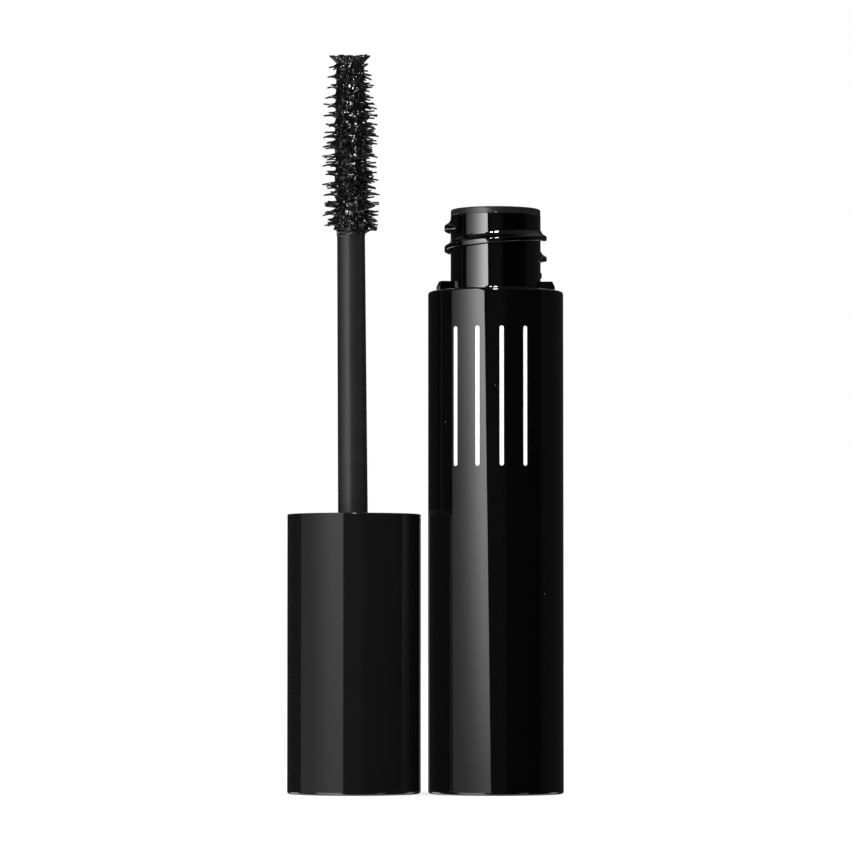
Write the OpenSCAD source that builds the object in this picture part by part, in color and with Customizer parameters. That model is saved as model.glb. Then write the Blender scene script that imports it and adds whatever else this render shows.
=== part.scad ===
// Mascara tube: an open bottle with its wiper, beside its applicator, which stands
// upside down on its cap with the brush in the air.
// Millimetres, +Z up, +X from the applicator towards the bottle, -Y is the front.
// The origin is on the bottle's axis, in the plane that both pieces stand on.
// Every part of the applicator is drawn where it is when the bottle is closed, and
// stand_on_cap() then turns it over and sets it beside the bottle.

/* [Bottle] */
// Outer diameter of the bottle
bottle_d = 19.6; // [19.4:0.1:20.4]
// Height of the bottle's shoulder above its base
shoulder_h = 72.5; // [72:0.1:80]
// Rounding of the shoulder's edge
shoulder_round = 0.5; // [0.2:0.1:0.8]
// Rounding of the edges that the bottle and the cap stand on
base_round = 0.45; // [0.2:0.05:0.8]
// Diameter of the shell's bore, which takes the inner bottle
shell_bore_d = 15.8; // [15.6:0.1:16]
// Thickness of the shell's floor
shell_floor = 1.9; // [1.2:0.1:2.4]

/* [Neck] */
// Outer diameter of the neck without its thread
neck_d = 13.06; // [13:0.02:13.1]
// Outer diameter of the thread
thread_d = 14.86; // [14.6:0.02:14.9]
// Height of the neck and the wiper's flange above the shoulder
neck_h = 11.93; // [11.5:0.01:12.5]
// Rise of the thread in one turn, right-handed
thread_pitch = 3; // [2.9:0.05:3.1]
// Diameter over the two ratchet lugs at the foot of the neck
lug_d = 17.16; // [16.6:0.02:17.2]
// Height of the ratchet lugs
lug_h = 1.45; // [1:0.05:1.5]
// Angle that each ratchet lug covers
lug_span = 24; // [20:1:60]

/* [Wiper] */
// Diameter of the orifice that wipes the stem
orifice_d = 4.44; // [4.44:0.01:4.6]
// Thickness of the wiper's flange
flange_t = 1.05; // [0.8:0.05:1.3]

/* [Cap] */
// Outer diameter of the cap
cap_d = 19.3; // [19.1:0.1:20.4]
// Length of the cap
cap_h = 40.3; // [38:0.1:44]
// Gap between the closed cap's rim and the shoulder
rim_gap = 0.2; // [0.1:0.05:0.4]
// Thickness of the gasket
gasket_t = 1.05; // [0.8:0.05:1.3]

/* [Stem and brush] */
// Length of stem that shows below the closed cap's rim
stem_out = 40.9; // [36:0.1:42]
// Diameter of the stem at the cap's rim
stem_root_d = 4.31; // [4.2:0.01:4.34]
// Diameter of the stem at the brush
stem_tip_d = 4.04; // [3.9:0.01:4.2]
// Length of the brush
brush_h = 25.9; // [22:0.1:26]
// Largest diameter over the bristles' tips
brush_d = 8.2; // [7:0.1:9]
// Diameter over the bristles at the brush's tip
brush_tip_d = 5.2; // [4:0.1:6]
// Diameter of the core of bristles and mascara
coat_d = 4.3; // [4:0.1:4.6]
// Diameter of the wire that is folded and twisted
wire_d = 0.7; // [0.5:0.05:0.72]

/* [Foil] */
// Number of foil pinstripes on the front of the shell
stripe_count = 4; // [2:1:6]
// Width of one pinstripe
stripe_w = 0.6; // [0.4:0.1:1]
// Length of one pinstripe
stripe_h = 20; // [10:1:30]
// Height of the pinstripes' middle above the base
stripe_mid_z = 57; // [45:1:60]

/* [Layout] */
// Distance from the bottle's axis to the standing applicator's axis
applicator_gap = 20.46; // [20.3:0.01:30]

/* [Hidden] */
$fn = 96;
eps = 0.01;
bottle_r = bottle_d / 2;
cap_r = cap_d / 2;
neck_r = neck_d / 2;
press_gap = 0.02;       // between parts that are pressed or glued together
run_gap = 0.1;          // between the gasket and what turns round it
flange_z = shoulder_h + neck_h;         // top of the wiper's flange
neck_z = flange_z - flange_t;           // top of the neck
cap_rim_z = shoulder_h + rim_gap;       // rim of the closed cap
cap_top_z = cap_rim_z + cap_h;          // top of the closed cap
ceiling_z = flange_z + gasket_t;        // face inside the cap that backs the gasket
stem_end_z = cap_rim_z - stem_out;      // end of the stem, where the brush starts
brush_tip_z = stem_end_z - brush_h;

// Bottle
label_r = 7.2;
label_t = 0.12;
land_h = 6;             // fitted length at the mouth of the shell's bore
bore_relief = 0.3;      // the shell's bore narrows by this below the fitted length
reservoir_r = 7.35;
reservoir_z = 2.3;      // underside of the reservoir
reservoir_wall = 1.05;
neck_bore_r = 5.2;
thread_root_r = neck_r - 0.18;          // the thread is rooted this deep in the neck
thread_mid_z = shoulder_h + 7.73;       // height of the thread's crest at angle 0
thread_from = -385;     // angles where the neck's thread starts and ends
thread_to = 212;
thread_step = 12;       // angle between two sections of a thread
seat_r = 8.7;           // the inner bottle's shoulder sits in a step of the shell
seat_h = 1;
foot_round = 0.5;       // fillet between the neck and the shoulder
lug_turn = 5;           // the lugs sit this far round from the X axis
lug_teeth = 36;         // teeth to a full turn, of which each lug has a few
lug_tooth_depth = 0.42;
lug_root = 0.2;         // the lugs are rooted this deep in the shoulder
lug_chamfer = 0.35;     // how far the lug's top edge is drawn in
nub_z = shoulder_h + 2.37;
nub_r = 0.9;
nub_out = 0.22;         // the nub stands this far out of the neck
wiper_r = neck_r - 0.03;
funnel_r = 4.5;
bead_z = shoulder_h + 5.5;              // ring that snaps the wiper into the neck
bead_out = 0.25;
bead_half_h = 0.5;
lip_z = neck_z - 9.3;                   // lower end of the wiper's orifice
lip_h = 1;

// Cap
shell_in_r = cap_r - 0.9;
shell_top = 1.5;
insert_z = cap_rim_z + 1.6;             // mouth of the inner cap
insert_wall_r = 7.6;
gasket_r = 6.85;
gasket_clear = 0.15;    // between the gasket's hole and the stem
crown_z = ceiling_z + 1.3;              // back of the inner cap's end wall
socket_r = 3;
socket_wall = 1.2;
socket_z = crown_z + 9.8;
rib_count = 6;
rib_z = socket_z - 1.5;

// Brush
wire_pitch = 2.6;       // one turn of the twisted wire
wire_root = 11.5;       // length of wire held inside the stem
wire_hole_r = wire_d + 0.05;
row_pitch = wire_pitch / 2;             // two rows of bristles to each turn
row_t = 0.36;
spikes = 16;

// Points of an arc round [x, y] from angle a0 to a1
function arc(x, y, r, a0, a1, n = 6) =
    [for (i = [0 : n]) let (a = a0 + (a1 - a0) * i / n) [x + r * cos(a), y + r * sin(a)]];

// Radius over the bristles at height t, from 0 at the stem to 1 at the tip
function spike_r(t) =
    t < 0.1 ? (brush_d / 2) * (0.93 + 0.7 * t)
    : t < 0.6 ? brush_d / 2
    : brush_d / 2 - (brush_d - brush_tip_d) / 2 * pow((t - 0.6) / 0.4, 1.4);

// Radius of the coated core at height t, from 0 at the stem to 1 at the tip
function core_r(t) = coat_d / 2 - 0.22 * max(0, t - 0.6) / 0.4;

// Ridge of a right-handed thread between two angles. A ring of the section's points is
// set at each step, and the crest sinks to the flat section at both ends.
module thread_ridge(section, flat, a0, a1, run_out) {
    steps = round((a1 - a0) / thread_step);
    n = len(section);
    points = [for (i = [0 : steps]) for (j = [0 : n - 1])
        let (a = a0 + (a1 - a0) * i / steps)
        let (k = min(1, (a - a0) / run_out, (a1 - a) / run_out))
        let (p = flat[j] + (section[j] - flat[j]) * max(k, 0.04))
        [p[0] * cos(a), p[0] * sin(a), p[1] + thread_pitch * a / 360]];
    sides = [for (i = [0 : steps - 1]) for (j = [0 : n - 1])
        let (b = i * n + j, c = i * n + (j + 1) % n)
        each [[b, b + n, c], [c, b + n, c + n]]];
    first = [for (j = [0 : n - 1]) j];
    last = [for (j = [n - 1 : -1 : 0]) steps * n + j];
    polyhedron(points, concat(sides, [first], [last]));
}

// Ring of teeth with straight flanks, from which the ratchet lugs are cut
module toothed_ring(r, depth, teeth, h) {
    tooth_a = 360 / teeth;
    points = [for (i = [0 : teeth - 1]) each [
        [(r - depth) * cos(tooth_a * i), (r - depth) * sin(tooth_a * i)],
        [r * cos(tooth_a * (i + 0.3)), r * sin(tooth_a * (i + 0.3))],
        [r * cos(tooth_a * (i + 0.7)), r * sin(tooth_a * (i + 0.7))]]];
    linear_extrude(h) polygon(points);
}

// Wedge of a disc, centred on the X axis
module wedge(r, span, h) {
    linear_extrude(h) polygon([[0, 0], for (i = [-2 : 2]) r * [cos(span * i / 4), sin(span * i / 4)]]);
}

// Places a part of the closed applicator upside down beside the bottle
module stand_on_cap() {
    translate([-applicator_gap, 0, cap_top_z]) rotate([0, 180, 0]) children();
}

module outer_shell() {
    fit_z = shoulder_h - land_h;
    bore_r = shell_bore_d / 2;
    profile = concat(
        [[0, label_t + eps], [label_r + press_gap, label_t + eps], [label_r + press_gap, 0]],
        arc(bottle_r - base_round, base_round, base_round, -90, 0),
        arc(bottle_r - shoulder_round, shoulder_h - shoulder_round, shoulder_round, 0, 90),
        [[seat_r + press_gap, shoulder_h], [seat_r + press_gap, shoulder_h - seat_h],
         [bore_r, shoulder_h - seat_h], [bore_r, fit_z], [bore_r - bore_relief, fit_z - 1],
         [bore_r - bore_relief, shell_floor + 0.6], [bore_r - bore_relief - 0.6, shell_floor],
         [0, shell_floor]]);
    color([0.02, 0.02, 0.022]) rotate_extrude() polygon(profile);
}

// Straight pinstripes with round ends, evenly spaced over the front
module foil_stripes() {
    step = 20.5;        // angle between two pinstripes
    middle = -96;       // angle of the middle of the group
    foil_t = 0.04;
    straight = stripe_h - stripe_w;
    color([0.82, 0.82, 0.88]) intersection() {
        difference() {
            cylinder(h = shoulder_h, r = bottle_r + foil_t);
            translate([0, 0, -1]) cylinder(h = shoulder_h + 2, r = bottle_r);
        }
        for (i = [0 : stripe_count - 1])
            rotate([0, 0, middle + step * (i - (stripe_count - 1) / 2)])
                translate([bottle_r - 1, 0, stripe_mid_z]) rotate([90, 0, 90]) {
                    linear_extrude(2) square([stripe_w, straight], center = true);
                    for (s = [-1, 1])
                        translate([0, s * straight / 2, 0]) cylinder(h = 2, d = stripe_w, $fn = 24);
                }
    }
}

module base_label() {
    color([0.75, 0.75, 0.77]) cylinder(h = label_t, r = label_r);
}

module inner_bottle() {
    plug_r = shell_bore_d / 2 - press_gap;
    plug_z = shoulder_h - land_h + 0.5;
    inner_r = reservoir_r - reservoir_wall;
    floor_z = reservoir_z + 1.1;
    floor_round = 1.5;
    taper_z = shoulder_h - 3;           // the reservoir narrows to the neck's bore above this
    groove_r = neck_bore_r + bead_out;
    profile = concat(
        [[0, reservoir_z]],
        arc(reservoir_r - 1, reservoir_z + 1, 1, -90, 0, 4),
        [[reservoir_r, plug_z - 0.5], [plug_r, plug_z], [plug_r, shoulder_h - seat_h],
         [seat_r, shoulder_h - seat_h], [seat_r, shoulder_h]],
        arc(neck_r + foot_round, shoulder_h + foot_round, foot_round, -90, -180),
        [[neck_r, neck_z], [neck_bore_r, neck_z],
         [neck_bore_r, bead_z + bead_half_h], [groove_r, bead_z + 0.1],
         [groove_r, bead_z - 0.1], [neck_bore_r, bead_z - bead_half_h],
         [neck_bore_r, taper_z + 2], [inner_r, taper_z]],
        arc(inner_r - floor_round, floor_z + floor_round, floor_round, 0, -90, 4),
        [[0, floor_z]]);
    // Thread sections: a sloping upper flank, a flat crest and a nearly level lower flank
    crest_r = thread_d / 2;
    flat_r = neck_r - press_gap;
    tooth = [[thread_root_r, 1.46], [crest_r, 0.33], [crest_r, -0.33], [thread_root_r, -0.47]];
    faded = [[thread_root_r, 1.46], [flat_r, 0.4], [flat_r, -0.4], [thread_root_r, -0.47]];
    color([0.02, 0.02, 0.022]) union() {
        rotate_extrude() polygon(profile);
        translate([0, 0, thread_mid_z]) thread_ridge(tooth, faded, thread_from, thread_to, 26);
        for (a = [lug_turn, lug_turn + 180]) rotate([0, 0, a]) ratchet_lug();
        // Rounded nub above one lug, where the closing cap clicks
        rotate([0, 0, lug_turn]) translate([neck_r - nub_r + nub_out, 0, nub_z]) intersection() {
            sphere(nub_r);
            translate([0, -nub_r, -0.5]) cube([2 * nub_r, 2 * nub_r, 1]);
        }
    }
}

// Arc-shaped block with a toothed, chamfered outer face, at the foot of the neck
module ratchet_lug() {
    translate([0, 0, shoulder_h - lug_root]) difference() {
        intersection() {
            toothed_ring(lug_d / 2, lug_tooth_depth, lug_teeth, lug_h + lug_root);
            translate([0, 0, lug_root])
                cylinder(h = lug_h, r1 = lug_d / 2 + lug_tooth_depth, r2 = lug_d / 2 - lug_chamfer);
            wedge(lug_d, lug_span, lug_h + lug_root);
        }
        translate([0, 0, -1]) cylinder(h = lug_h + 3, r = neck_r - 0.2);
    }
}

module wiper() {
    skirt_r = neck_bore_r - press_gap;
    bead_r = skirt_r + bead_out;
    mouth_round = 0.35;
    profile = concat(
        [[orifice_d / 2, lip_z + lip_h], [orifice_d / 2, lip_z], [2.9, lip_z], [4.3, lip_z + 2.2],
         [skirt_r, lip_z + 3.3], [skirt_r, bead_z - bead_half_h + 0.05], [bead_r, bead_z - 0.08],
         [bead_r, bead_z + 0.08], [skirt_r, bead_z + bead_half_h - 0.05], [skirt_r, neck_z],
         [wiper_r, neck_z]],
        arc(wiper_r - mouth_round, flange_z - mouth_round, mouth_round, 0, 90),
        arc(funnel_r + mouth_round, flange_z - mouth_round, mouth_round, 90, 180),
        [[funnel_r - 0.15, lip_z + 4.2], [3.4, lip_z + 2.3]]);
    color([0.05, 0.05, 0.055]) rotate_extrude() polygon(profile);
}

module cap_shell() {
    profile = concat(
        [[shell_in_r, cap_rim_z], [cap_r - 0.12, cap_rim_z], [cap_r, cap_rim_z + 0.12]],
        arc(cap_r - base_round, cap_top_z - base_round, base_round, 0, 90),
        [[0, cap_top_z], [0, cap_top_z - shell_top], [shell_in_r - 0.8, cap_top_z - shell_top],
         [shell_in_r, cap_top_z - shell_top - 0.8]]);
    color([0.025, 0.025, 0.028]) stand_on_cap() rotate_extrude() polygon(profile);
}

module inner_cap() {
    skirt_r = shell_in_r - press_gap;
    seat_r = gasket_r + run_gap;
    crest_r = neck_r + 0.15;
    sleeve_r = socket_r + socket_wall;
    root_r = insert_wall_r + 0.3;
    // Sections of the cap's thread, which runs just below the flat flank of the neck's
    flat_r = insert_wall_r + 0.05;
    tooth = [[root_r, -2], [crest_r, -1.2], [crest_r, -0.6], [root_r, -0.55]];
    faded = [[root_r, -2], [flat_r, -1.2], [flat_r, -0.6], [root_r, -0.55]];
    profile = [[insert_wall_r, insert_z + 0.4], [insert_wall_r + 0.4, insert_z], [skirt_r, insert_z],
        [skirt_r, crown_z], [sleeve_r, crown_z], [sleeve_r, socket_z], [socket_r, socket_z],
        [socket_r, ceiling_z], [seat_r, ceiling_z], [seat_r, ceiling_z - 1.3],
        [insert_wall_r, ceiling_z - 2]];
    color([0.08, 0.08, 0.085]) stand_on_cap() union() {
        rotate_extrude() polygon(profile);
        translate([0, 0, thread_mid_z]) thread_ridge(tooth, faded, -430, -70, 24);
        // Ribs that centre the insert in the cap's shell
        for (i = [0 : rib_count - 1])
            rotate([0, 0, 30 + 360 * i / rib_count])
                translate([sleeve_r - 0.4, -0.5, crown_z - 0.2])
                    cube([skirt_r - sleeve_r + 0.3, 1, rib_z - crown_z]);
    }
}

module cap_gasket() {
    color([0.85, 0.85, 0.83]) stand_on_cap() translate([0, 0, flange_z]) difference() {
        cylinder(h = gasket_t, r = gasket_r);
        translate([0, 0, -1]) cylinder(h = gasket_t + 2, r = stem_root_d / 2 + gasket_clear);
    }
}

module stem() {
    root_r = stem_root_d / 2;
    tip_r = stem_tip_d / 2;
    plug_r = socket_r - press_gap;
    nose = 0.6;                 // rounding of the stem's end
    hole_z = stem_end_z + wire_root + 0.5;
    profile = concat(
        [[wire_hole_r, hole_z], [wire_hole_r, stem_end_z]],
        arc(tip_r - nose, stem_end_z + nose, nose, -90, 0),
        [[root_r, cap_rim_z], [root_r, ceiling_z], [plug_r, ceiling_z],
         [plug_r, socket_z - 1.6], [plug_r - 0.5, socket_z - 0.6], [0, socket_z - 0.6],
         [0, hole_z]]);
    color([0.03, 0.03, 0.032]) stand_on_cap() rotate_extrude() polygon(profile);
}

// Two legs of one folded wire, twisted together
module brush_wire() {
    length = brush_h + wire_root - 0.3;
    turns = length / wire_pitch;
    color([0.7, 0.7, 0.72]) stand_on_cap() translate([0, 0, brush_tip_z + 0.3])
        linear_extrude(length, twist = -360 * turns, slices = round(turns * 8), $fn = 8)
            for (s = [-1, 1]) translate([s * wire_d / 2 * 0.96, 0]) circle(d = wire_d);
}

// One row of bristles: a thin plate with points all round
module bristle_row(tip_r, valley_r, twist_angle) {
    points = [for (i = [0 : 2 * spikes - 1])
        let (a = twist_angle + 180 * i / spikes, r = i % 2 == 0 ? tip_r : valley_r)
        [r * cos(a), r * sin(a)]];
    difference() {
        linear_extrude(row_t) polygon(points);
        translate([0, 0, -1]) cylinder(h = row_t + 2, r = wire_hole_r);
    }
}

module bristles() {
    rows = round(brush_h / row_pitch);
    color([0.04, 0.04, 0.042]) stand_on_cap()
        for (i = [0 : rows - 1]) {
            t = (i + 0.5) / rows;
            translate([0, 0, stem_end_z - brush_h * t - row_t / 2])
                bristle_row(spike_r(t), core_r(t) - 0.25, i * 137.5);
        }
}

// Mascara between the rows of bristles
module formula_coat() {
    rows = round(brush_h / row_pitch);
    row_step = brush_h / rows;
    color([0.01, 0.01, 0.012]) stand_on_cap()
        for (i = [0 : rows]) {
            high = i == 0 ? stem_end_z : stem_end_z - row_step * (i - 0.5) - row_t / 2;
            low = i == rows ? brush_tip_z : stem_end_z - row_step * (i + 0.5) + row_t / 2;
            translate([0, 0, low]) difference() {
                cylinder(h = high - low, r = core_r(i / rows));
                translate([0, 0, -1]) cylinder(h = high - low + 2, r = wire_hole_r);
            }
        }
}

outer_shell();
foil_stripes();
base_label();
inner_bottle();
wiper();
cap_shell();
inner_cap();
cap_gasket();
stem();
brush_wire();
bristles();
formula_coat();
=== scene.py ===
"""Looks of the mascara tube: an open bottle beside its applicator, which stands on its cap."""

import math
import random

import bmesh
import bpy
from mathutils import Matrix, Vector, noise

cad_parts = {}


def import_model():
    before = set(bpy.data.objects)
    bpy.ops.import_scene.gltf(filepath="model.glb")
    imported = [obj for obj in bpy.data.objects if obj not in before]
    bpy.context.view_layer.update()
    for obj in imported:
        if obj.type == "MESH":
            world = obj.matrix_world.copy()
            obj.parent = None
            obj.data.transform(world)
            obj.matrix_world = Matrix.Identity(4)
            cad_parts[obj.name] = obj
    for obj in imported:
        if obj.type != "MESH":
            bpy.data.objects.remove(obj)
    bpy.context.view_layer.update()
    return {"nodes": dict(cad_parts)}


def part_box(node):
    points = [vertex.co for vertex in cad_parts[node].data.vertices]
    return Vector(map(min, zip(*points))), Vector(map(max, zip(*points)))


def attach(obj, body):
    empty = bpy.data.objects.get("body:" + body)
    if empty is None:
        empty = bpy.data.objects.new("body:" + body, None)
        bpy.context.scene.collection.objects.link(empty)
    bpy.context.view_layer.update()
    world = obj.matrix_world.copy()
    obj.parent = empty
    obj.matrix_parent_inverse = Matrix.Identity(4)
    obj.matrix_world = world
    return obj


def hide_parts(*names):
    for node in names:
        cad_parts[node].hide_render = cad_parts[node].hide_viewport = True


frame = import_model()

MM = 0.001
SEED = 7
SHARP = 40                       # edges that turn by more than this many degrees stay crisp

# ---------------------------------------------------------------- sizes from the frame, in mm


def extent(node):
    """Lowest and highest corner of a CAD node in millimetres."""
    lo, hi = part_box(node)
    return lo / MM, hi / MM


shell_lo, shell_hi = extent("outer_shell")
_, neck_hi = extent("inner_bottle")
wiper_lo, wiper_hi = extent("wiper")
cap_lo, cap_hi = extent("cap_shell")
insert_lo, insert_hi = extent("inner_cap")
gasket_lo, gasket_hi = extent("cap_gasket")
stem_lo, stem_hi = extent("stem")
bristle_lo, bristle_hi = extent("bristles")
_, coat_hi = extent("formula_coat")

BOTTLE_R = (shell_hi.x - shell_lo.x) / 2
SHOULDER_Z = shell_hi.z
NECK_TOP = neck_hi.z
FLANGE_Z = wiper_hi.z
CAP_X = (cap_lo.x + cap_hi.x) / 2
CAP_R = (cap_hi.x - cap_lo.x) / 2
RIM_Z = cap_hi.z
BRUSH_Z = stem_hi.z              # end of the stem, where the brush starts
TIP_Z = coat_hi.z
BRUSH_H = TIP_Z - BRUSH_Z
BRUSH_R = (bristle_hi.x - bristle_lo.x) / 2

NECK_R = 6.53
THREAD_R = 7.43
THREAD_PITCH = 3.0
THREAD_MID = SHOULDER_Z + 7.73   # height of the thread's crest at angle 0
LUG_R = 8.58
LUG_TURN = 5.0
ORIFICE_R = 2.22
STEM_ROOT_R = 2.155
STEM_TIP_R = 2.02
CORE_R = 2.4
STEM_LEAN = 0.42                 # the stem stands this many degrees out of true
LEAN_Z = gasket_hi.z - 13.0      # and leans from here up


# ---------------------------------------------------------------- mesh tools


def rounded(points, radius=0.08, steps=4):
    """A closed profile with its corners rounded. A point may carry a radius of its own."""
    out = []
    for i, p in enumerate(points):
        a, b, c = (Vector(q[:2]) for q in (points[i - 1], p, points[(i + 1) % len(points)]))
        r = p[2] if len(p) > 2 else radius
        u, v = a - b, c - b
        if b.x < 1e-6 or r <= 0 or min(u.length, v.length) < 1e-6 or u.angle(v) > 3.1:
            out.append(b)
            continue
        cut = min(r / math.tan(u.angle(v) / 2), 0.45 * min(u.length, v.length))
        s, e = b + u.normalized() * cut, b + v.normalized() * cut
        for k in range(steps + 1):
            t = k / steps
            out.append(s * (1 - t) ** 2 + b * 2 * t * (1 - t) + e * t * t)
    return out


def supported(points, gap=0.04, longest=4.0):
    """The profile with a point near each end of its long sides, so that they shade flat."""
    out = []
    for i, a in enumerate(points):
        b = points[(i + 1) % len(points)]
        d = b - a
        out.append(a)
        if a.x < 1e-6 and b.x < 1e-6:
            continue
        if d.length > 6 * gap:
            out.append(a + d.normalized() * gap)
            n = int(d.length / longest)
            out += [a + d * ((k + 1) / (n + 1)) for k in range(n)]
            out.append(b - d.normalized() * gap)
    return out


class Build:
    """Collects vertices and faces in millimetres and makes one object of them."""

    def __init__(self):
        self.verts, self.faces = [], []

    def add(self, verts, faces):
        n = len(self.verts)
        self.verts += verts
        self.faces += [tuple(i + n for i in f) for f in faces]

    def lathe(self, points, x=0.0, segments=256, shape=None):
        """A closed profile of (r, z), turned about the vertical axis at x."""
        rings, verts, faces = [], [], []
        for p in points:
            if p[0] < 1e-6:
                rings.append([len(verts)])
                verts.append((x, 0, p[1]))
                continue
            start = len(verts)
            for s in range(segments):
                a = 2 * math.pi * s / segments
                r, z = (p[0], p[1]) if shape is None else shape(p[0], p[1], a)
                verts.append((x + r * math.cos(a), r * math.sin(a), z))
            rings.append(list(range(start, start + segments)))
        for i, lo in enumerate(rings):
            hi = rings[(i + 1) % len(rings)]
            if len(lo) == 1 and len(hi) == 1:
                continue
            for s in range(segments):
                t = (s + 1) % segments
                if len(lo) == 1:
                    faces.append((lo[0], hi[t], hi[s]))
                elif len(hi) == 1:
                    faces.append((lo[s], lo[t], hi[0]))
                else:
                    faces.append((lo[s], lo[t], hi[t], hi[s]))
        self.add(verts, faces)

    def sweep(self, section, angles, x=0.0, flip=False):
        """A closed section of (r, z) that may change with the angle, in degrees, with flat ends."""
        verts, faces, n = [], [], 0
        for a in angles:
            ring = section(a)
            n = len(ring)
            c, s = math.cos(math.radians(a)), math.sin(math.radians(a))
            verts += [(x + (-1 if flip else 1) * r * c, r * s, z) for r, z in ring]
        for i in range(len(angles) - 1):
            for j in range(n):
                b, d = i * n + j, i * n + (j + 1) % n
                faces.append((b, d, d + n, b + n))
        faces.append(tuple(range(n - 1, -1, -1)))
        faces.append(tuple((len(angles) - 1) * n + j for j in range(n)))
        self.add(verts, faces)

    def tube(self, path, radii, sides=6):
        """A tapered tube along a path of points, with a rounded tip."""
        verts, faces = [], []
        for i, p in enumerate(path):
            d = (path[min(i + 1, len(path) - 1)] - path[max(i - 1, 0)]).normalized()
            u = d.cross(Vector((0, 0, 1)))
            u = u.normalized() if u.length > 1e-4 else Vector((1, 0, 0))
            v = d.cross(u)
            for s in range(sides):
                a = 2 * math.pi * s / sides
                verts.append(tuple(p + u * radii[i] * math.cos(a) + v * radii[i] * math.sin(a)))
        for i in range(len(path) - 1):
            for s in range(sides):
                t = (s + 1) % sides
                b = i * sides
                faces.append((b + s, b + t, b + sides + t, b + sides + s))
        last = (len(path) - 1) * sides
        d = (path[-1] - path[-2]).normalized()
        verts.append(tuple(path[-1] + d * radii[-1]))
        faces += [(last + s, last + (s + 1) % sides, len(verts) - 1) for s in range(sides)]
        faces.append(tuple(range(sides - 1, -1, -1)))
        self.add(verts, faces)

    def lean(self, z0, angle):
        """Leans everything above z0 to the left by a small angle, in degrees."""
        k = math.tan(math.radians(angle))
        self.verts = [(v[0] - max(0.0, v[2] - z0) * k, v[1], v[2]) for v in self.verts]

    def make(self, name, material, body, slot, nodes):
        mesh = bpy.data.meshes.new(name)
        mesh.from_pydata([tuple(c * MM for c in v) for v in self.verts], [], self.faces)
        mesh.validate()
        obj = bpy.data.objects.new(name, mesh)
        bpy.context.scene.collection.objects.link(obj)
        return finished(obj, material, body, nodes)


def finished(obj, material, body, nodes):
    """Outward normals, smooth shading, material, body and the CAD nodes it stands for."""
    bm = bmesh.new()
    bm.from_mesh(obj.data)
    bmesh.ops.recalc_face_normals(bm, faces=bm.faces)
    bm.to_mesh(obj.data)
    bm.free()
    obj.data.polygons.foreach_set("use_smooth", [True] * len(obj.data.polygons))
    obj.data.set_sharp_from_angle(angle=math.radians(SHARP))
    obj.data.materials.clear()
    obj.data.materials.append(material)
    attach(obj, body)
    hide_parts(*nodes)
    return obj


# ---------------------------------------------------------------- materials


class Tree:
    """Short ways to make and link shader nodes."""

    def __init__(self, tree):
        self.tree = tree
        tree.nodes.clear()

    def node(self, kind, inputs=None, **settings):
        n = self.tree.nodes.new("ShaderNode" + kind)
        for k, v in settings.items():
            setattr(n, k, v)
        for k, v in (inputs or {}).items():
            if isinstance(v, bpy.types.NodeSocket):
                self.tree.links.new(v, n.inputs[k])
            else:
                n.inputs[k].default_value = v
        return n

    def math(self, op, a, b=0.0):
        return self.node("Math", {0: a, 1: b}, operation=op).outputs[0]

    def noise(self, where, scale, detail=3.0, rough=0.5):
        return self.node(
            "TexNoise", {"Vector": where, "Scale": scale, "Detail": detail, "Roughness": rough}
        ).outputs["Fac"]

    def remap(self, value, lo, hi, to_lo, to_hi):
        n = self.node(
            "MapRange",
            {"Value": value, "From Min": lo, "From Max": hi, "To Min": to_lo, "To Max": to_hi},
            interpolation_type="SMOOTHSTEP",
        )
        return n.outputs[0]

    def mix(self, factor, a, b):
        n = self.node("Mix", data_type="RGBA")
        for key, v in ((0, factor), (6, a), (7, b)):
            if isinstance(v, bpy.types.NodeSocket):
                self.tree.links.new(v, n.inputs[key])
            else:
                n.inputs[key].default_value = v
        return n.outputs[2]

    def bump(self, height, strength, distance, normal=None):
        inputs = {"Height": height, "Strength": strength, "Distance": distance}
        if normal is not None:
            inputs["Normal"] = normal
        return self.node("Bump", inputs).outputs[0]

    def stretched(self, where, scale):
        return self.node("Mapping", {"Vector": where, "Scale": scale}).outputs[0]


def grey(v, tint=(1.0, 1.0, 1.06)):
    return (v * tint[0], v * tint[1], v * tint[2], 1.0)


def new_material(name):
    m = bpy.data.materials.new(name)
    m.use_nodes = True
    t = Tree(m.node_tree)
    where = t.node("TexCoord").outputs["Object"]
    return m, t, where


def surface(t, inputs):
    bsdf = t.node("BsdfPrincipled", inputs)
    out = t.node("OutputMaterial")
    t.tree.links.new(bsdf.outputs[0], out.inputs[0])
    return bsdf


def plastic(name, base, rough, wear, dust=0.0, peel=0.0, grain=0.0, grain_scale=9000.0, ior=1.5):
    """Black moulded plastic: faint colour and gloss drift, hairline scratches, peel and dust."""
    m, t, where = new_material(name)
    drift = t.noise(where, 90.0, 4.0)
    hair = t.noise(t.stretched(where, (2600.0, 2600.0, 60.0)), 1.0, 2.0)
    scratch = t.remap(hair, 0.66, 0.74, 0.0, 1.0)
    color = t.mix(drift, grey(base * 0.85), grey(base * 1.2))
    roughness = t.math("ADD", t.remap(drift, 0.3, 0.7, rough - wear * 0.4, rough + wear * 0.4),
                       t.math("MULTIPLY", scratch, wear))
    if dust:
        cells = t.node("TexVoronoi", {"Vector": where, "Scale": 420.0}, feature="F1")
        chance = t.node("SeparateColor", {0: cells.outputs["Color"]}).outputs[0]
        rare = t.math("GREATER_THAN", chance, 0.86)
        speck = t.math("MULTIPLY", rare,
                       t.remap(cells.outputs["Distance"], 0.022, 0.045, 1.0, 0.0))
        color = t.mix(t.math("MULTIPLY", speck, dust), color, grey(0.35))
        roughness = t.math("ADD", roughness, t.math("MULTIPLY", speck, 0.4))
    height = t.noise(where, 260.0, 1.0)
    normal = t.bump(height, peel, 0.0004)
    if grain:
        normal = t.bump(t.noise(where, grain_scale, 2.0), grain, 0.00003, normal)
    surface(t, {"Base Color": color, "Roughness": roughness, "IOR": ior, "Normal": normal})
    return m


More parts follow.
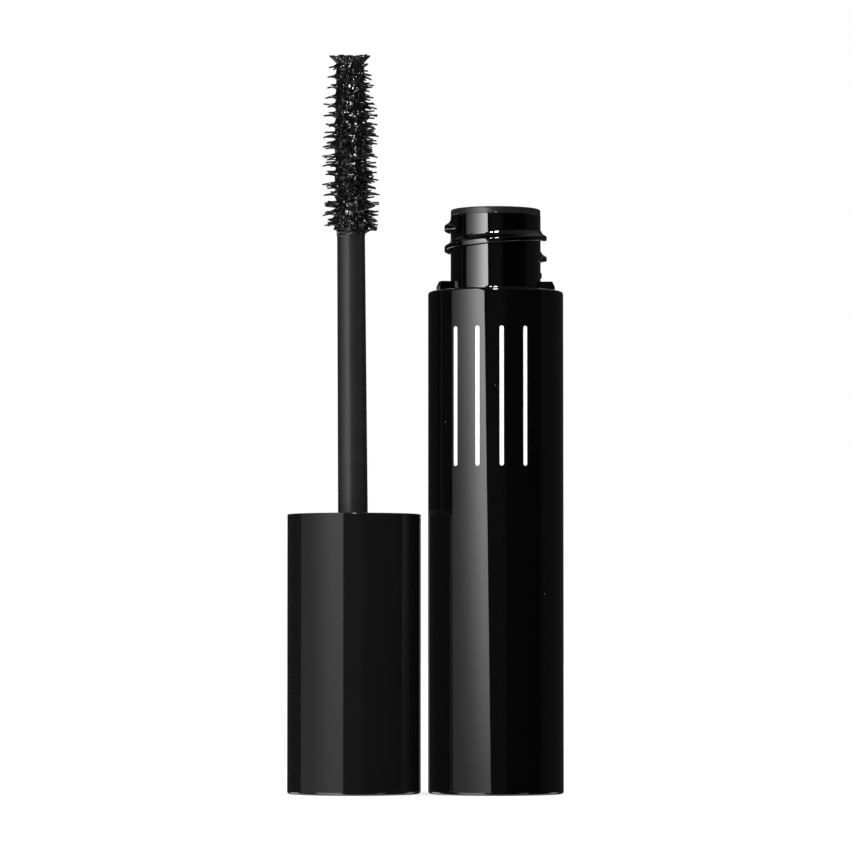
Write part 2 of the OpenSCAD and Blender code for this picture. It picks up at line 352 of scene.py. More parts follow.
def foil():
    """Hot-stamped foil: pale, slightly lilac, with glittering flakes."""
    m, t, where = new_material("silver_foil")
    flakes = t.node("TexVoronoi", {"Vector": where, "Scale": 9000.0}, feature="F1")
    sparkle = t.node("SeparateColor", {0: flakes.outputs["Color"]}).outputs[0]
    color = t.mix(t.remap(sparkle, 0.2, 0.95, 0.0, 1.0), (0.80, 0.79, 0.86, 1), (1.0, 1.0, 1.0, 1))
    normal = t.bump(sparkle, 0.35, 0.00004)
    surface(t, {"Base Color": color, "Metallic": 0.12,
                "Roughness": t.remap(sparkle, 0.0, 1.0, 0.28, 0.5), "Normal": normal})
    return m


def label():
    """Blank metallised paper label."""
    m, t, where = new_material("label")
    fibre = t.noise(where, 1800.0, 5.0, 0.65)
    rings = t.noise(t.stretched(where, (120.0, 900.0, 120.0)), 1.0, 3.0)
    color = t.mix(fibre, (0.62, 0.62, 0.65, 1), (0.78, 0.78, 0.80, 1))
    surface(t, {"Base Color": color, "Metallic": 0.6,
                "Roughness": t.remap(rings, 0.3, 0.7, 0.32, 0.5),
                "Normal": t.bump(fibre, 0.2, 0.00004)})
    return m


def foam():
    """Closed-cell polyethylene foam, off-white, with cells whose pits carry painted shade, and the
    neck's grey imprint.
    """
    m, t, where = new_material("gasket_foam")
    cells = t.node("TexVoronoi", {"Vector": where, "Scale": 3600.0}, feature="F1")
    d = cells.outputs["Distance"]
    stain = t.noise(where, 420.0, 4.0, 0.6)
    color = t.mix(t.remap(stain, 0.5, 0.72, 0.0, 0.7), (0.80, 0.80, 0.78, 1), (0.30, 0.30, 0.31, 1))
    # Painted shade: the colour is pulled towards grey at the cell centres, which are the pits of
    # the bump
    surface(t, {"Base Color": t.mix(t.remap(d, 0.0, 0.6, 0.25, 0.0), color, (0.5, 0.5, 0.5, 1)),
                "Roughness": t.remap(stain, 0.4, 0.7, 0.75, 0.45),
                "Normal": t.bump(d, 0.6, 0.00006)})
    return m


def steel():
    """Drawn wire with lengthwise marks."""
    m, t, where = new_material("wire_steel")
    drawn = t.noise(t.stretched(where, (5200.0, 5200.0, 240.0)), 1.0, 4.0)
    surface(t, {"Base Color": t.mix(drawn, (0.46, 0.46, 0.48, 1), (0.68, 0.68, 0.70, 1)),
                "Metallic": 1.0, "Roughness": t.remap(drawn, 0.3, 0.7, 0.22, 0.42),
                "Normal": t.bump(drawn, 0.2, 0.00003)})
    return m


def wet(name, base, rough, bump, scale=900.0):
    """Mascara: jet black, wet where it is thick and duller where it has dried, with painted shade
    that darkens the hollows between its lumps and painted light on their tops.
    """
    m, t, where = new_material(name)
    lumps = t.noise(where, scale, 5.0, 0.6)
    fine = t.noise(where, scale * 6.0, 3.0, 0.6)
    patch = t.noise(where, scale * 0.35, 2.0)
    normal = t.bump(lumps, bump, 0.00012)
    normal = t.bump(fine, bump * 0.6, 0.00003, normal)
    # Painted light and shade: the colour follows the bump's lumps, darker in the hollows and
    # lighter on the tops
    surface(t, {"Base Color": t.mix(lumps, grey(base * 0.6), grey(base * 1.5)),
                "Roughness": t.remap(patch, 0.35, 0.65, rough, rough + 0.14),
                "IOR": 1.36, "Normal": normal})
    return m


MAT = {
    "shell_gloss": plastic("shell_gloss", 0.0008, 0.035, 0.02, dust=0.25, peel=0.015),
    "neck_gloss": plastic("neck_gloss", 0.0004, 0.05, 0.03, peel=0.03, ior=1.7),
    "cap_gloss": plastic("cap_gloss", 0.0038, 0.085, 0.03, dust=0.12, peel=0.015),
    "stem_satin": plastic("stem_satin", 0.0085, 0.27, 0.05, grain=0.25, grain_scale=7000.0),
    "wiper_satin": plastic("wiper_satin", 0.0075, 0.33, 0.06, grain=0.2),
    "insert_satin": plastic("insert_satin", 0.012, 0.3, 0.06, grain=0.15),
    "bristle_nylon": wet("bristle_nylon", 0.0015, 0.2, 0.25, 1600.0),
    "mascara_wet": wet("mascara_wet", 0.0012, 0.07, 0.4),
    "silver_foil": foil(),
    "label": label(),
    "gasket_foam": foam(),
    "wire_steel": steel(),
}


# ---------------------------------------------------------------- bottle


def shell():
    b = Build()
    recess_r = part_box("base_label")[1].x / MM + 0.02
    recess, base_t = 0.13, 1.9          # depth of the label's recess, thickness of the base
    seat_r, land_r, bore_r = 8.72, 7.9, 7.6
    seat_z, land_z = SHOULDER_Z - 1, SHOULDER_Z - 6
    profile = rounded([
        (0, recess), (recess_r, recess, 0), (recess_r, 0, 0.06), (BOTTLE_R, 0, 0.45),
        (BOTTLE_R, SHOULDER_Z, 0.5), (seat_r, SHOULDER_Z, 0.05), (seat_r, seat_z, 0),
        (land_r, seat_z, 0.05), (land_r, land_z, 0), (bore_r, land_z - 1, 0),
        (bore_r, base_t + 0.6, 0), (bore_r - 0.6, base_t, 0), (0, base_t)], steps=6)
    b.lathe(supported(profile), segments=320)
    return b.make("bottle_shell", MAT["shell_gloss"], "bottle", "shell_gloss", ["outer_shell"])


def pinstripes():
    """Four straight foil lines with round ends, a little proud of the shell."""
    b = Build()
    count, step, middle, half_w, half_h = 4, 20.5, -96.0, 0.3, 10.0
    mid_z = (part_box("foil_stripes")[0].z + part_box("foil_stripes")[1].z) / 2 / MM
    rows, cols, proud = 90, 8, 0.038
    for i in range(count):
        centre = middle + step * (i - (count - 1) / 2)
        ring = []
        for k in range(rows + 1):
            s = -math.cos(math.pi * k / rows)
            z = s * half_h
            past = max(0.0, abs(z) - (half_h - half_w))
            w = math.sqrt(max(half_w ** 2 - past ** 2, 1e-6))
            line = []
            for j in range(cols + 1):
                u = -1 + 2 * j / cols
                a = math.radians(centre) + u * w / BOTTLE_R
                r = BOTTLE_R + proud * (1 - abs(u) ** 6) * (1 - (past / half_w) ** 6) - 0.004
                line.append((r * math.cos(a), r * math.sin(a), mid_z + z))
            for j in (cols, 0):
                x, y, _ = line[j]
                q = (BOTTLE_R - 0.03) / math.hypot(x, y)
                line.append((x * q, y * q, mid_z + z))
            ring.append(line)
        n = cols + 3
        verts = [p for line in ring for p in line]
        faces = [(k * n + j, k * n + (j + 1) % n, (k + 1) * n + (j + 1) % n, (k + 1) * n + j)
                 for k in range(rows) for j in range(n)]
        faces += [tuple(range(n - 1, -1, -1)), tuple(rows * n + j for j in range(n))]
        b.add(verts, faces)
    return b.make("foil_pinstripes", MAT["silver_foil"], "bottle", "silver_foil", ["foil_stripes"])


def thread_sections(section, faded, a0, a1, run_out, mid):
    """Section of a ridge at each angle, in full and sinking away at both ends."""
    full, flat = rounded(section, 0.1, 3), rounded(faded, 0.1, 3)

    def at(a):
        k = max(0.0, min(1.0, (a - a0) / run_out, (a1 - a) / run_out))
        k = k * k * (3 - 2 * k)
        z = mid + THREAD_PITCH * a / 360
        return [(f.x + (s.x - f.x) * k, f.y + (s.y - f.y) * k + z) for s, f in zip(full, flat)]

    return at


def spread(a0, a1, step):
    n = max(1, round((a1 - a0) / step))
    return [a0 + (a1 - a0) * i / n for i in range(n + 1)]


def neck():
    b = Build()
    seat_r, plug_r, bore_r, outside_r, inside_r = 8.7, 7.88, 5.2, 7.35, 6.3
    outside_z, inside_z = 2.3, 3.4      # under and inside the reservoir's floor
    seat_z, plug_z = SHOULDER_Z - 1, SHOULDER_Z - 5.5
    profile = rounded([
        (0, outside_z), (outside_r, outside_z, 1), (outside_r, plug_z - 0.5, 0),
        (plug_r, plug_z, 0), (plug_r, seat_z, 0), (seat_r, seat_z, 0),
        (seat_r, SHOULDER_Z, 0.06), (NECK_R, SHOULDER_Z, 0.5), (NECK_R, NECK_TOP, 0.03),
        (bore_r, NECK_TOP, 0.05), (bore_r, seat_z, 0), (inside_r, seat_z - 2, 0),
        (inside_r, inside_z, 1.5), (0, inside_z)], steps=6)
    b.lathe(supported(profile), segments=256)
    root, in_r = NECK_R, NECK_R - 0.3
    tooth = [(in_r, 1.75, 0), (root, 1.3, 0.25),
             (root + 0.11, 0.85, 0.5), (THREAD_R, 0.32, 0.2), (THREAD_R, -0.32, 0.1),
             (root, -0.46, 0.14), (in_r, -0.7, 0)]
    faded = [(in_r, 1.3, 0), (root - 0.06, 0.9, 0.1), (root - 0.05, 0.65, 0.1),
             (root - 0.04, 0.4, 0.1), (root - 0.04, -0.3, 0.1), (root - 0.06, -0.4, 0.1),
             (in_r, -0.6, 0)]
    bottom, top, run_out = -385.0, 212.0, 26.0      # where the thread starts and ends, in degrees
    b.sweep(thread_sections(tooth, faded, bottom, top, run_out, THREAD_MID),
            spread(bottom, top, 2.0))
    # Ratchet lugs
    span, tooth_span, flank, depth = 24.0, 10.0, 0.3, 0.42
    foot, chamfer_z, top_z = SHOULDER_Z - 0.15, SHOULDER_Z + 0.725, SHOULDER_Z + 1.45
    for turn in (LUG_TURN, LUG_TURN + 180):
        def lug(a, turn=turn):
            f = ((a - turn) / tooth_span) % 1.0
            r = LUG_R - depth * (1 - min(1, f / flank, (1 - f) / flank))
            top_r = min(LUG_R - 0.34, r - 0.05)
            return [(p.x, p.y) for p in rounded(
                [(in_r, foot, 0), (r, foot, 0), (r, chamfer_z, 0.1), (top_r, top_z, 0.1),
                 (in_r, top_z, 0)], 0.1, 3)]
        b.sweep(lug, spread(turn - span / 2, turn + span / 2, 0.5))
    # Rounded nub above one lug
    nub_z, nub_h, nub_span, nub_out, nub_in_r = SHOULDER_Z + 2.37, 0.5, 12.0, 0.22, NECK_R - 0.25

    def nub(a):
        u = (a - LUG_TURN) / (nub_span / 2)
        out = nub_out * math.sqrt(max(0.0, 1 - u * u))
        points = [(nub_in_r, nub_z - nub_h)]
        for k in range(9):
            v = -1 + k / 4
            points.append((NECK_R - 0.02 + out * (1 - v ** 6), nub_z + v * nub_h))
        points.append((nub_in_r, nub_z + nub_h))
        return points
    b.sweep(nub, spread(LUG_TURN - nub_span / 2, LUG_TURN + nub_span / 2, 0.5))
    return b.make("neck_bottle", MAT["neck_gloss"], "bottle", "neck_gloss", ["inner_bottle"])


def wiper():
    b = Build()
    z = wiper_lo.z
    plug_r, flange_r, mouth_r, funnel_r, smear = 5.18, NECK_R - 0.03, 4.5, 4.35, 0.05
    profile = rounded([
        (ORIFICE_R, z + 1, 0.12), (ORIFICE_R, z, 0.08), (2.9, z, 0.1), (4.3, z + 2.2, 0.2),
        (plug_r, z + 3.3, 0.2), (plug_r, NECK_TOP, 0), (flange_r, NECK_TOP, 0.12),
        (flange_r, FLANGE_Z, 0.35), (mouth_r, FLANGE_Z, 0.35), (funnel_r, z + 4.2, 0.3),
        (3.4, z + 2.3, 0.4)], steps=6)

    def shape(r, h, a):
        """Film of mascara that lies unevenly in the funnel."""
        if h > FLANGE_Z - 0.5 or r > funnel_r + 0.1:
            return r, h
        p = Vector((math.cos(a) * 1.7, math.sin(a) * 1.7, h * 0.9))
        return r - smear * max(0.0, noise.noise(p) + 0.2), h
    b.lathe(supported(profile, 0.04, 0.6), segments=192, shape=shape)
    return b.make("wiper_insert", MAT["wiper_satin"], "bottle", "wiper_satin", ["wiper"])


# ---------------------------------------------------------------- cap


def cap():
    b = Build()
    in_r, top = CAP_R - 0.9, 1.5
    profile = rounded([
        (0, 0), (CAP_R, 0, 0.45), (CAP_R, RIM_Z, 0.14), (in_r, RIM_Z, 0.1), (in_r, top + 0.8, 0),
        (in_r - 0.8, top, 0), (0, top)], steps=6)
    b.lathe(supported(profile), CAP_X, 320)
    return b.make("cap_outer", MAT["cap_gloss"], "applicator", "cap_gloss", ["cap_shell"])


def cap_insert():
    b = Build()
    mouth, end = insert_hi.z, insert_lo.z
    floor_z, crown = gasket_lo.z, gasket_lo.z - 1.3
    skirt_r, wall_r, seat_r, sleeve_r, socket_r = CAP_R - 0.92, 7.6, 6.95, 4.2, 3.0
    profile = rounded([
        (wall_r, mouth - 0.4, 0.1), (wall_r + 0.4, mouth, 0.12), (skirt_r, mouth, 0.1),
        (skirt_r, crown, 0.1), (sleeve_r, crown, 0.1), (sleeve_r, end, 0.1), (socket_r, end, 0.1),
        (socket_r, floor_z, 0.05), (seat_r, floor_z, 0.05), (seat_r, floor_z + 1.3, 0.15),
        (wall_r, floor_z + 2, 0.15)], steps=4)
    b.lathe(supported(profile), CAP_X, 256)
    root, crest = wall_r + 0.25, NECK_R + 0.15
    # In the closed cap's frame, which is then turned over about the Y axis
    tooth = [(root, -0.5, 0), (crest, -0.62, 0.1), (crest, -1.2, 0.1), (root, -2.0, 0)]
    faded = [(root, -0.5, 0), (wall_r + 0.04, -0.62, 0), (wall_r + 0.04, -1.2, 0),
             (root, -2.0, 0)]
    bottom, top, run_out = -430.0, -70.0, 24.0
    at = thread_sections(tooth, faded, bottom, top, run_out, THREAD_MID)
    over = RIM_Z + SHOULDER_Z + 0.2     # the closed cap stands 0.2 above the shoulder

    def turned(a):
        return [(r, over - z) for r, z in at(a)]
    b.sweep(turned, spread(bottom, top, 2.5), CAP_X, flip=True)
    # Ribs between the sleeve and the skirt
    ribs, half_t = 6, 0.5
    for i in range(ribs):
        a = math.radians(150 - 360 / ribs * i)
        c, s = math.cos(a), math.sin(a)
        corners = [(sleeve_r - 0.3, -half_t), (skirt_r - 0.1, -half_t), (skirt_r - 0.1, half_t),
                   (sleeve_r - 0.3, half_t)]
        verts = [(CAP_X + r * c - w * s, r * s + w * c, z)
                 for z in (end + 1.5, crown + 0.1) for r, w in corners]
        b.add(verts, [(0, 3, 2, 1), (4, 5, 6, 7)] +
              [(k, (k + 1) % 4, (k + 1) % 4 + 4, k + 4) for k in range(4)])
    return b.make("cap_insert", MAT["insert_satin"], "applicator", "insert_satin", ["inner_cap"])


def gasket():
    b = Build()
    lo, hi = gasket_lo.z, gasket_hi.z
    outer, inner = (gasket_hi.x - gasket_lo.x) / 2, STEM_ROOT_R + 0.15
    dent = 0.09         # print of the neck's rim
    profile = rounded([
        (inner, lo, 0.05), (outer, lo, 0.1), (outer, hi, 0.15), (NECK_R - 0.05, hi, 0.1),
        (NECK_R - 0.2, hi - dent, 0.15), (4.9, hi - dent, 0.15), (4.7, hi, 0.2),
        (inner, hi, 0.12)], steps=4)

    def shape(r, z, a):
        p = Vector((math.cos(a) * r, math.sin(a) * r, z)) * 1.6
        return r, z - (0.02 * max(0.0, noise.noise(p)) if z > hi - 0.2 else 0)
    b.lathe(supported(profile, 0.04, 0.3), CAP_X, 192, shape)
    return b.make("foam_gasket", MAT["gasket_foam"], "gasket", "gasket_foam", ["cap_gasket"])


def stem():
    b = Build()
    seat, plug_r, hole_r, hole_h = gasket_lo.z, 2.98, 0.75, 12.0
    profile = rounded([
        (0, stem_lo.z), (plug_r - 0.5, stem_lo.z, 0.1), (plug_r, stem_lo.z + 1, 0.1),
        (plug_r, seat, 0), (STEM_ROOT_R, seat, 0), (STEM_ROOT_R, RIM_Z, 0),
        (STEM_TIP_R, BRUSH_Z, 1.15), (hole_r, BRUSH_Z, 0), (hole_r, BRUSH_Z - hole_h, 0),
        (0, BRUSH_Z - hole_h)], steps=8)
    b.lathe(supported(profile, 0.04, 2.0), CAP_X, 128)
    b.lean(LEAN_Z, STEM_LEAN)
    return b.make("stem_rod", MAT["stem_satin"], "applicator", "stem_satin", ["stem"])


# ---------------------------------------------------------------- brush

ROW_PITCH = 2.86      # one turn of the twisted wire, with two rows of bristles
VOXEL = 0.07          # of the mesh that merges the mascara on core and bristles


def spike_reach(t):
    """Radius over the bristles, from t = 0 at the stem to 1 at the tip."""
    if t < 0.08:
        return BRUSH_R * (0.94 + 0.6 * t)
    if t < 0.6:
        return BRUSH_R
    return BRUSH_R - (BRUSH_R - 2.75) * ((t - 0.6) / 0.4) ** 1.35


def core_radius(t):
    return CORE_R - 0.28 * max(0.0, (t - 0.6) / 0.4) ** 1.2


def brush():
    rng = random.Random(SEED)
    fibres, goo = Build(), Build()
    rings = 150
    # Lumpy core, coated with mascara
    core = [Vector((core_radius(i / rings) - 0.2, BRUSH_Z - 0.15 + (BRUSH_H - 0.55) * i / rings))
            for i in range(rings + 1)]

    def lumpy(r, z, a):
        p = Vector((math.cos(a) * 2.2, math.sin(a) * 2.2, z * 1.1))
        return r + 0.24 * noise.noise(p) + 0.14 * noise.noise(p * 2.7), z
    goo.lathe([Vector((0, core[0].y))] + core + [Vector((0, core[-1].y))], CAP_X, 96, lumpy)

    def spike(angle, z, reach, droop, swing, root, web, tip_r=0.15, start=None, decay=0.24):
        """One bristle, and the mascara on it from its root to web of its length. The mascara is
        root thick at the core's surface and thins out over decay of the free length."""
        surface_r = core_radius((z - BRUSH_Z) / BRUSH_H) - 0.15
        r0 = surface_r - 0.35 if start is None else start
        steps = 9
        path, radii, lumps = [], [], []
        for k in range(steps + 1):
            u = k / steps
            r = r0 + (reach - r0) * u
            a = angle + swing * u * u
            h = z + droop * (u ** 2.2)
            path.append(Vector((CAP_X + r * math.cos(a), r * math.sin(a), h)))
            past = max(0.0, (r - surface_r) / max(reach - surface_r, 0.3))
            radii.append(tip_r * (1.15 - 0.3 * u))
            lumps.append(0.13 + root * math.exp(-past / decay) * (1 - 0.25 * past))
        fibres.tube(path, radii, 6)
        cut = max(3, int(round(steps * web)))
        goo.tube(path[:cut + 1], lumps[:cut + 1], 8)

    per_turn, first_row = 15, TIP_Z - 1.75
    for helix in (0, 1):
        for k in range(int(BRUSH_H / ROW_PITCH * per_turn)):
            turn = 360.0 * k / per_turn
            z = first_row - ROW_PITCH * (turn / 360 + helix / 2)
            if z < BRUSH_Z + 0.4 or rng.random() < 0.08:
                continue
            t = (z - BRUSH_Z) / BRUSH_H
            angle = math.radians(turn + 180 + rng.uniform(-9, 9))
            z += rng.gauss(0, 0.07)
            out = spike_reach(t) - core_radius(t)
            reach = core_radius(t) + out * (1 - abs(rng.gauss(0, 0.1)))
            if rng.random() < 0.15:
                reach = core_radius(t) + out * rng.uniform(0.3, 0.7)
            droop, swing = rng.gauss(-0.14, 0.14), rng.gauss(0, 0.07)
            root, web = rng.uniform(0.22, 0.36), rng.uniform(0.6, 1.0)
            spike(angle, z, reach, droop, swing, root, web)
            if rng.random() < 0.3:
                spike(angle + rng.gauss(0, 0.05), z + rng.choice((-1, 1)) * rng.uniform(0.3, 0.5),
                      reach * rng.uniform(0.85, 1.0), droop * 0.4 + rng.gauss(0, 0.1), swing,
                      root * 0.6, web * 0.8)
    # Stray bristles between the rows, most of them on the right and low down
    strays = 150
    for k in range(strays):
        t = rng.random() ** 1.15
        angle = rng.uniform(-math.pi, math.pi)
        if math.cos(angle) < -0.3 and (t > 0.5 or rng.random() < 0.5):
            continue
        spike(angle, BRUSH_Z + 0.5 + (BRUSH_H - 2.2) * t,
              core_radius(t) + (spike_reach(t) - core_radius(t)) * rng.uniform(0.45, 1.0),
              rng.gauss(-0.05, 0.25), rng.gauss(0, 0.12), rng.uniform(0.08, 0.25),
              rng.uniform(0.4, 1.0))
    # Crown of merged bristles at the tip
    crown_z, horns = TIP_Z - 0.85, 14
    for k in range(horns):
        angle = math.radians(180 + 360 * k / horns)
        side = abs(math.cos(angle)) ** 2
        spike(angle, crown_z + rng.uniform(-0.2, 0.0), 2.45 + 0.4 * side + rng.uniform(-0.12, 0.0),
              0.25 + 0.42 * side, 0.0, 0.42, 1.0, start=0.5, decay=0.55)
    goo.lathe(supported(rounded([
        (0, crown_z - 1.2), (1.7, crown_z - 1.2, 0.3), (2.2, crown_z + 0.1, 0.3),
        (1.2, crown_z + 0.1, 0.3), (0.5, crown_z + 0.7, 0.2), (0, crown_z + 0.72)]), 0.04, 0.2),
        CAP_X, 64, lumpy)
    # Clumps where the brush meets the stem
    clumps = 34
    for k in range(clumps):
        angle = rng.uniform(-math.pi, math.pi)
        spike(angle, BRUSH_Z + rng.uniform(0.1, 3.2), spike_reach(0.05) * rng.uniform(0.72, 0.97),
              rng.gauss(0.0, 0.3), rng.gauss(0, 0.12), rng.uniform(0.3, 0.55), 0.95,
              decay=0.45)
    # Mascara that has run over the end of the stem
    goo.lathe(supported(rounded([
        (0, BRUSH_Z - 1.0), (STEM_TIP_R - 0.25, BRUSH_Z - 1.0, 0.1),
        (STEM_TIP_R + 0.1, BRUSH_Z - 0.2, 0.5), (STEM_TIP_R + 0.25, BRUSH_Z + 0.7, 0.4),
        (0, BRUSH_Z + 0.9)]), 0.04, 0.2), CAP_X, 96, lumpy)
    for part in (fibres, goo):
        part.lean(LEAN_Z, STEM_LEAN)
    bristles = fibres.make("brush_bristles", MAT["bristle_nylon"], "applicator", "bristle_nylon",
                           ["bristles"])
    mesh = bpy.data.meshes.new("coat_parts")
    mesh.from_pydata([tuple(c * MM for c in v) for v in goo.verts], [], goo.faces)
    parts = bpy.data.objects.new("coat_parts", mesh)
    bpy.context.scene.collection.objects.link(parts)
    remesh = parts.modifiers.new("merge", "REMESH")
    remesh.mode = "VOXEL"
    remesh.voxel_size = VOXEL * MM
    soften = parts.modifiers.new("soften", "SMOOTH")
    soften.factor, soften.iterations = 0.5, 2
    merged = bpy.data.meshes.new_from_object(
        parts.evaluated_get(bpy.context.evaluated_depsgraph_get()))
    bpy.data.objects.remove(parts)
    coat = bpy.data.objects.new("brush_coat", merged)
    bpy.context.scene.collection.objects.link(coat)
    finished(coat, MAT["mascara_wet"], "applicator", ["formula_coat"])
    return bristles, coat


pieces = {
    "shell": shell(), "foil": pinstripes(), "neck": neck(), "wiper": wiper(),
    "cap": cap(), "insert": cap_insert(), "gasket": gasket(), "stem": stem(),
}
pieces["bristles"], pieces["coat"] = brush()
for node_name, mat_name in (("base_label", "label"), ("brush_wire", "wire_steel")):
    for s in frame["nodes"][node_name].material_slots:
        s.material = MAT[mat_name]


# ---------------------------------------------------------------- floor, lights, camera


def floor():
    mesh = bpy.data.meshes.new("floor")
    half, n = 4.0, 8
    row = n + 1
    verts = [(-half + 2 * half * i / n, -half + 2 * half * j / n, 0)
             for j in range(row) for i in range(row)]
    faces = [(j * row + i, j * row + i + 1, (j + 1) * row + i + 1, (j + 1) * row + i)
             for j in range(n) for i in range(n)]
    mesh.from_pydata(verts, [], faces)
    obj = bpy.data.objects.new("floor", mesh)
    bpy.context.scene.collection.objects.link(obj)
    m, t, where = new_material("floor_paper")
    tone = t.noise(where, 3.0, 2.0)
    surface(t, {"Base Color": t.mix(tone, grey(0.5, (1, 1, 1)), grey(0.53, (1, 1, 1))),
                "Roughness": 0.9, "Specular IOR Level": 0.0,
                "Emission Color": (1, 1, 1, 1), "Emission Strength": 0.68})
    mesh.materials.append(m)
    obj.visible_glossy = False


def light_only(obj, receivers):
    """Puts a lamp in the scene, unseen by the camera, to light only its receivers."""
    obj.visible_camera = False
    bpy.context.scene.collection.objects.link(obj)
    group = bpy.data.collections.new(obj.name + "_lights")
    for r in receivers:
        group.objects.link(r)
    obj.light_linking.receiver_collection = group


def softbox(name, near, far, tilt, broad, peak, falloff, power, low, receivers):
    """A tall panel facing the tube, from near at its right edge to far, in plan. Its right edge
    leans by tilt degrees. A glow of strength peak beside that edge falls away over falloff, at
    the given power, and is low times as bright at the floor. A wash of strength broad lies
    over the whole panel. Only the receivers are lit."""
    height, mid_z = 0.29, 0.075
    near, far = Vector((*near, mid_z)), Vector((*far, mid_z))
    away = (far - near).normalized()
    lamp = bpy.data.lights.new(name, "AREA")
    lamp.shape, lamp.size, lamp.size_y = "RECTANGLE", (far - near).length, height
    lamp.energy = math.pi * lamp.size * height      # radiance 1, before the levels
    lamp.use_nodes = True
    t = Tree(lamp.node_tree)
    where = t.node("NewGeometry").outputs["Position"]
    z = t.node("SeparateXYZ", {0: where}).outputs[2]
    from_near = t.node("VectorMath", {0: where, 1: near}, operation="SUBTRACT").outputs[0]
    along = t.node("VectorMath", {0: from_near, 1: away}, operation="DOT_PRODUCT").outputs["Value"]
    lean = t.math("MULTIPLY", t.math("SUBTRACT", z, mid_z), math.tan(math.radians(tilt)))
    distance = t.math("MAXIMUM", t.math("SUBTRACT", along, lean), 0.0)
    fall = t.math("ADD", t.math("POWER", t.math("DIVIDE", distance, falloff), power), 1.0)
    up = t.node("MapRange", {"Value": z, "From Min": -0.002, "From Max": 0.082, "To Min": low,
                             "To Max": 1.0}).outputs[0]
    glow = t.math("DIVIDE", t.math("MULTIPLY", up, peak), fall)
    wash = t.math("MULTIPLY", t.math("SUBTRACT", 1.6, up), broad)
    emit = t.node("Emission", {"Strength": t.math("ADD", glow, wash)})
    out = t.node("OutputLight")
    t.tree.links.new(emit.outputs[0], out.inputs[0])
    obj = bpy.data.objects.new(name, lamp)
    across, up_axis = -away, Vector((0, 0, 1))
    turn = Matrix((across, up_axis, across.cross(up_axis))).transposed()
    obj.matrix_world = (Matrix.Translation((near + far) / 2) @ turn.to_4x4()
                        @ Matrix.Rotation(math.radians(tilt), 4, "Z"))
    light_only(obj, receivers)


def small_light(name, shape, size, place, target, radiance, receivers):
    """A lamp of even radiance, which lights only its receivers."""
    lamp = bpy.data.lights.new(name, "AREA")
    lamp.shape, lamp.size, lamp.size_y = shape, *size
    area = size[0] * size[1] * (math.pi / 4 if shape == "ELLIPSE" else 1)
    lamp.energy = radiance * math.pi * area
    obj = bpy.data.objects.new(name, lamp)
    obj.location = place
    obj.rotation_euler = (Vector(target) - obj.location).to_track_quat("-Z", "Y").to_euler()
    light_only(obj, receivers)


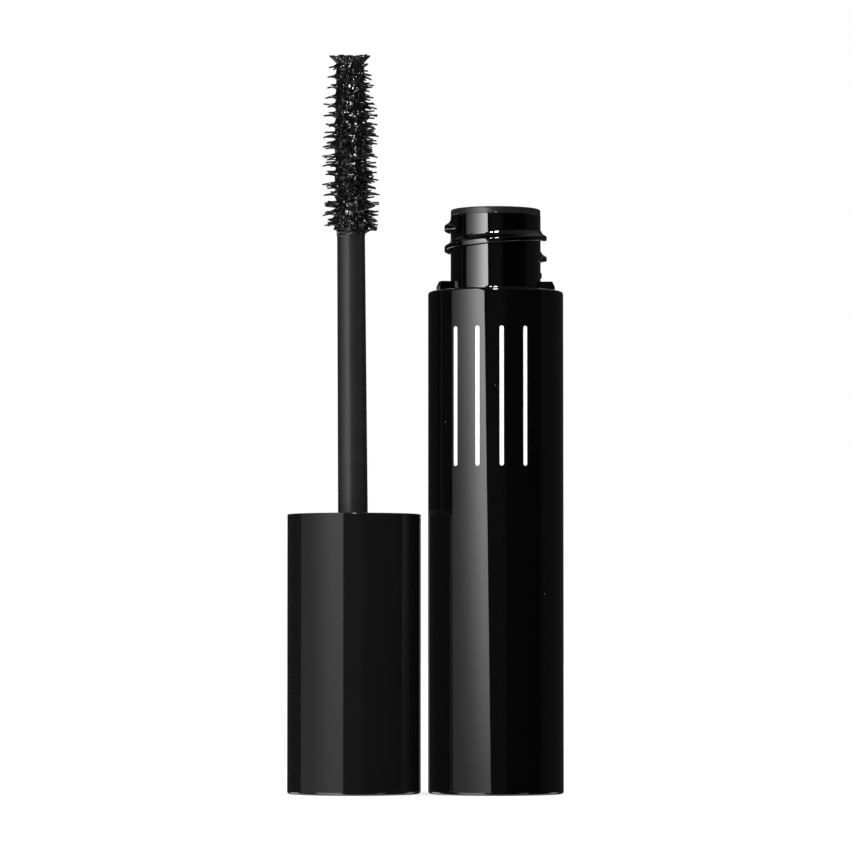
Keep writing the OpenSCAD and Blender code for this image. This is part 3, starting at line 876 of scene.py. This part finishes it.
def world():
    w = bpy.data.worlds.new("studio")
    bpy.context.scene.world = w
    w.use_nodes = True
    w.cycles.sampling_method = "NONE"
    t = Tree(w.node_tree)
    d = t.node("SeparateXYZ", {0: t.node("TexCoord").outputs["Generated"]})
    x, y, z = d.outputs
    flat = t.math("SQRT", t.math("ADD", t.math("MULTIPLY", x, x), t.math("MULTIPLY", y, y)))
    behind = t.math("DIVIDE", y, t.math("MAXIMUM", flat, 0.001))     # 1 straight behind the tube
    side = t.math("DIVIDE", x, t.math("MAXIMUM", flat, 0.001))        # 1 to the right
    # Faint room, a little brighter on the right and nearly black towards the camera
    level = t.math("MULTIPLY", t.remap(behind, -0.25, 0.0, 0.05, 1.0),
                   t.remap(side, -0.3, 0.3, 0.024, 0.038))
    # Glow behind the camera, and the bright backdrop that the outlines mirror
    level = t.math("ADD", level, t.remap(behind, -0.93, -0.995, 0.0, 0.05))
    level = t.math("ADD", level, t.math("MULTIPLY", t.remap(behind, 0.9915, 0.9945, 0.0, 1.5),
                                        t.remap(z, -0.75, -0.5, 0.0, 1.0)))
    # Panels below the horizon, which upright walls show only to a raised camera
    for azimuth, half, strength in ((-135, 26, 3.0), (60, 14, 1.6), (-50, 18, 2.4), (130, 9, 1.0)):
        a = math.radians(azimuth)
        facing = t.math("ADD", t.math("MULTIPLY", behind, math.cos(a)),
                        t.math("MULTIPLY", side, math.sin(a)))
        edge = t.remap(facing, math.cos(math.radians(half)), math.cos(math.radians(half - 4)), 0.0,
                       strength)
        level = t.math("ADD", level, t.math("MULTIPLY", edge, t.remap(z, -0.12, -0.2, 0.0, 1.0)))
    # Light from the floor, and a band overhead
    level = t.math("ADD", level, t.remap(z, -0.5, -0.8, 0.0, 0.9))
    level = t.math("ADD", level, t.math("MULTIPLY", t.remap(z, 0.4, 0.5, 0.0, 0.12),
                                        t.remap(z, 0.93, 0.85, 0.0, 1.0)))
    path = t.node("LightPath")
    glossy = path.outputs["Is Glossy Ray"]
    strength = t.math("ADD", t.math("MULTIPLY", level, glossy),
                      t.math("SUBTRACT", 1.0, glossy))
    back = t.node("Background", {"Color": (1, 1, 1, 1), "Strength": strength})
    out = t.node("OutputWorld")
    t.tree.links.new(back.outputs[0], out.inputs[0])


floor()
world()
bottle_parts = [pieces[k] for k in ("shell", "neck", "wiper", "gasket", "foil")]
cap_parts = [pieces[k] for k in ("cap", "insert", "stem")]
softbox("softbox_bottle", near=(-0.052, -0.1366), far=(-0.300, -0.058), tilt=17.0, broad=0.3,
        peak=7.0, falloff=0.062, power=2.0, low=0.14, receivers=bottle_parts)
softbox("softbox_cap", near=(-0.0604, -0.1289), far=(-0.313, 0.062), tilt=0.0, broad=0.25,
        peak=1.75, falloff=0.095, power=3.0, low=0.35, receivers=cap_parts)
# Small lamps above the camera, which make the white glints
for name, size, place, radiance, keys in (
        ("key_high", 0.11, (-0.01, -0.62, 0.56), 150.0, ("shell", "neck", "cap", "insert", "stem")),
        ("key_left", 0.07, (-0.16, -0.60, 0.56), 110.0, ("neck", "stem")),
        ("key_brush", 0.25, (-0.06, -0.62, 0.42), 120.0, ("bristles", "coat"))):
    small_light(name, "ELLIPSE", (size, size), place, (0, 0, 0.08), radiance,
                [pieces[k] for k in keys])
# Faint glow on the bottle's left side, where the black cap would be mirrored
small_light("fill_left", "RECTANGLE", (0.08, 0.041), (-0.0103, 0, 0.0205), (0, 0, 0.0205), 0.028,
            [pieces["shell"]])

cam = bpy.data.cameras.new("camera")
cam.sensor_width, cam.lens = 36.0, 199.36
cam.clip_start, cam.clip_end = 0.05, 20.0
camera = bpy.data.objects.new("camera", cam)
camera.location = (-0.010225, -0.680, 0.02203)
camera.rotation_euler = (math.radians(92.626), 0, 0)
bpy.context.scene.collection.objects.link(camera)
bpy.context.scene.camera = camera
bpy.context.scene.view_settings.view_transform = "Standard"
